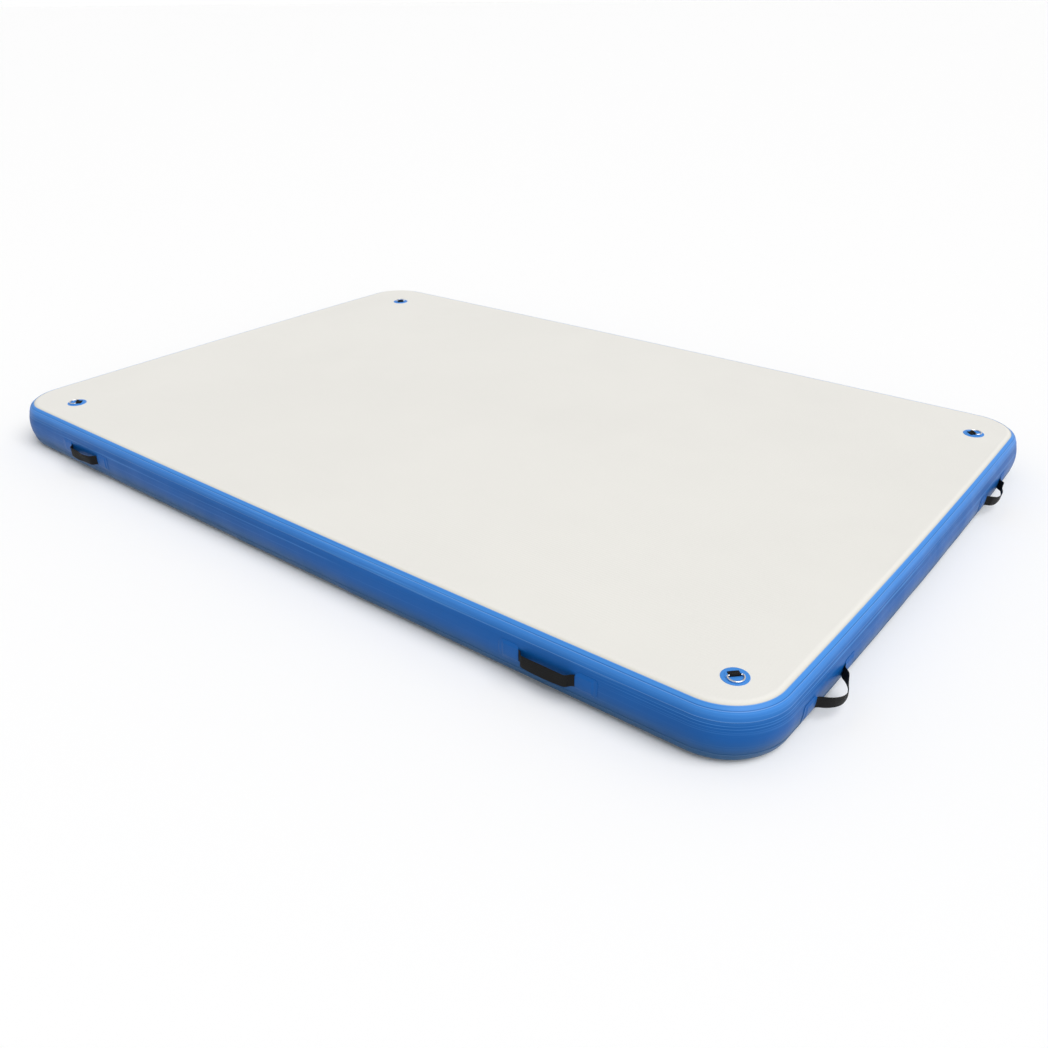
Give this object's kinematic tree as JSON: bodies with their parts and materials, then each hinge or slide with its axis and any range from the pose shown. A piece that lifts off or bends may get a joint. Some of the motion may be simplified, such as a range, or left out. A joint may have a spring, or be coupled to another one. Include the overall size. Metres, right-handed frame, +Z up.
{
  "type": "air track mat",
  "caption": "Flat inflatable gymnastics mat with a light grey top, rounded blue side walls, black webbing handles round the edge and a D-ring patch near each corner.",
  "frame": {"origin": "centre of the flat bottom face, where the mat lies on the floor", "axes": "+X along the length, +Y across the width towards the back, +Z up from the floor"},
  "size_m": [3.081, 2.0573, 0.1575],
  "materials": {
    "light_grey_skin": "matte",
    "blue_side_wall": "satin",
    "blue_patch": "satin",
    "black_webbing": "matte",
    "thread": "matte",
    "steel_ring": "polished",
    "steel_wire": "satin",
    "valve_grey": "satin",
    "valve_white": "satin",
    "black_rubber": "matte"
  },
  "bodies": {
    "mat": {"top_skin": "light_grey_skin", "bottom_skin": "light_grey_skin", "drop_stitch_threads": "thread", "sidewall_long_strip": "blue_side_wall", "sidewall_short_strip": "blue_side_wall", "sidewall_joint_patches": "blue_side_wall", "top_seam_tape": "blue_side_wall", "bottom_seam_tape": "blue_side_wall", "top_inner_tape": "blue_side_wall", "bottom_inner_tape": "blue_side_wall", "handle_sewn_ends_front_left": "black_webbing", "handle_end_patches_front_left": "blue_patch", "handle_sewn_ends_front_right": "black_webbing", "handle_end_patches_front_right": "blue_patch", "handle_sewn_ends_right_front": "black_webbing", "handle_end_patches_right_front": "blue_patch", "handle_sewn_ends_right_back": "black_webbing", "handle_end_patches_right_back": "blue_patch", "handle_sewn_ends_back_right": "black_webbing", "handle_end_patches_back_right": "blue_patch", "handle_sewn_ends_back_left": "black_webbing", "handle_end_patches_back_left": "blue_patch", "handle_sewn_ends_left_back": "black_webbing", "handle_end_patches_left_back": "blue_patch", "handle_sewn_ends_left_front": "black_webbing", "handle_end_patches_left_front": "blue_patch", "d_ring_base_front_left": "blue_patch", "d_ring_cover_front_left": "blue_patch", "d_ring_webbing_front_left": "black_webbing", "d_ring_base_front_right": "blue_patch", "d_ring_cover_front_right": "blue_patch", "d_ring_webbing_front_right": "black_webbing", "d_ring_base_back_left": "blue_patch", "d_ring_cover_back_left": "blue_patch", "d_ring_webbing_back_left": "black_webbing", "d_ring_base_back_right": "blue_patch", "d_ring_cover_back_right": "blue_patch", "d_ring_webbing_back_right": "black_webbing", "valve_body": "valve_grey", "valve_saddle_gasket": "black_rubber", "valve_backing_nut": "valve_grey", "valve_spring": "steel_wire", "valve_cap_tether": "valve_grey"},
    "handle_front_left": {"handle_strap_front_left": "black_webbing"},
    "handle_front_right": {"handle_strap_front_right": "black_webbing"},
    "handle_right_front": {"handle_strap_right_front": "black_webbing"},
    "handle_right_back": {"handle_strap_right_back": "black_webbing"},
    "handle_back_right": {"handle_strap_back_right": "black_webbing"},
    "handle_back_left": {"handle_strap_back_left": "black_webbing"},
    "handle_left_back": {"handle_strap_left_back": "black_webbing"},
    "handle_left_front": {"handle_strap_left_front": "black_webbing"},
    "ring_front_left": {"d_ring_front_left": "steel_ring"},
    "ring_front_right": {"d_ring_front_right": "steel_ring"},
    "ring_back_left": {"d_ring_back_left": "steel_ring"},
    "ring_back_right": {"d_ring_back_right": "steel_ring"},
    "valve_cap_body": {"valve_cap": "valve_grey"},
    "plunger": {"valve_plunger": "valve_white", "valve_seal_disc": "black_rubber"}
  },
  "joints": [
    {"name": "handle_hinge_front_left", "type": "hinge", "parent": "mat", "child": "handle_front_left", "pos_m": [-0.99116, -1.01346, 0.07121], "axis": [1, -0.0091, 0], "range_deg": [-88.5, 81.5]},
    {"name": "handle_hinge_front_right", "type": "hinge", "parent": "mat", "child": "handle_front_right", "pos_m": [0.96716, -1.01372, 0.07626], "axis": [1, 0.0088, 0], "range_deg": [-84.5, 85.5]},
    {"name": "handle_hinge_right_front", "type": "hinge", "parent": "mat", "child": "handle_right_front", "pos_m": [1.51201, -0.64526, 0.05735], "axis": [0.0152, 0.9999, 0], "range_deg": [-97, 73]},
    {"name": "handle_hinge_right_back", "type": "hinge", "parent": "mat", "child": "handle_right_back", "pos_m": [1.51317, 0.57523, 0.05861], "axis": [-0.0136, 0.9999, 0], "range_deg": [-100.5, 69.5]},
    {"name": "handle_hinge_back_right", "type": "hinge", "parent": "mat", "child": "handle_back_right", "pos_m": [1.00016, 1.01334, 0.06995], "axis": [-1, 0.0091, 0], "range_deg": [-99, 71]},
    {"name": "handle_hinge_back_left", "type": "hinge", "parent": "mat", "child": "handle_back_left", "pos_m": [-1.00016, 1.01288, 0.06238], "axis": [-1, -0.0091, 0], "range_deg": [-115, 55]},
    {"name": "handle_hinge_left_back", "type": "hinge", "parent": "mat", "child": "handle_left_back", "pos_m": [-1.51326, 0.61025, 0.0649], "axis": [-0.0144, -0.9999, 0], "range_deg": [-105, 65]},
    {"name": "handle_hinge_left_front", "type": "hinge", "parent": "mat", "child": "handle_left_front", "pos_m": [-1.51306, -0.61025, 0.06238], "axis": [0.0144, -0.9999, 0], "range_deg": [-100, 70]},
    {"name": "ring_hinge_front_left", "type": "hinge", "parent": "mat", "child": "ring_front_left", "pos_m": [-1.258, -0.855, 0.1543], "axis": [-0.7071, 0.7071, 0], "range_deg": [0, 170]},
    {"name": "ring_hinge_front_right", "type": "hinge", "parent": "mat", "child": "ring_front_right", "pos_m": [1.362, -0.855, 0.1543], "axis": [-0.7071, -0.7071, 0], "range_deg": [0, 170]},
    {"name": "ring_hinge_back_left", "type": "hinge", "parent": "mat", "child": "ring_back_left", "pos_m": [-1.258, 0.783, 0.1543], "axis": [0.7071, 0.7071, 0], "range_deg": [0, 170]},
    {"name": "ring_hinge_back_right", "type": "hinge", "parent": "mat", "child": "ring_back_right", "pos_m": [1.362, 0.783, 0.1543], "axis": [0.7071, -0.7071, 0], "range_deg": [0, 170]},
    {"name": "valve_cap_hinge", "type": "hinge", "parent": "mat", "child": "valve_cap_body", "pos_m": [-1.50676, -0.21604, 0.075], "axis": [0, 0, -1], "range_deg": [0, 150]},
    {"name": "valve_plunger_slide", "type": "slide", "parent": "mat", "child": "plunger", "axis": [1, 0.0059, 0], "range_m": [0, 0.006], "stiffness_N_per_m": 500, "springref_m": -0.004, "deforming": ["valve_spring"]}
  ]
}
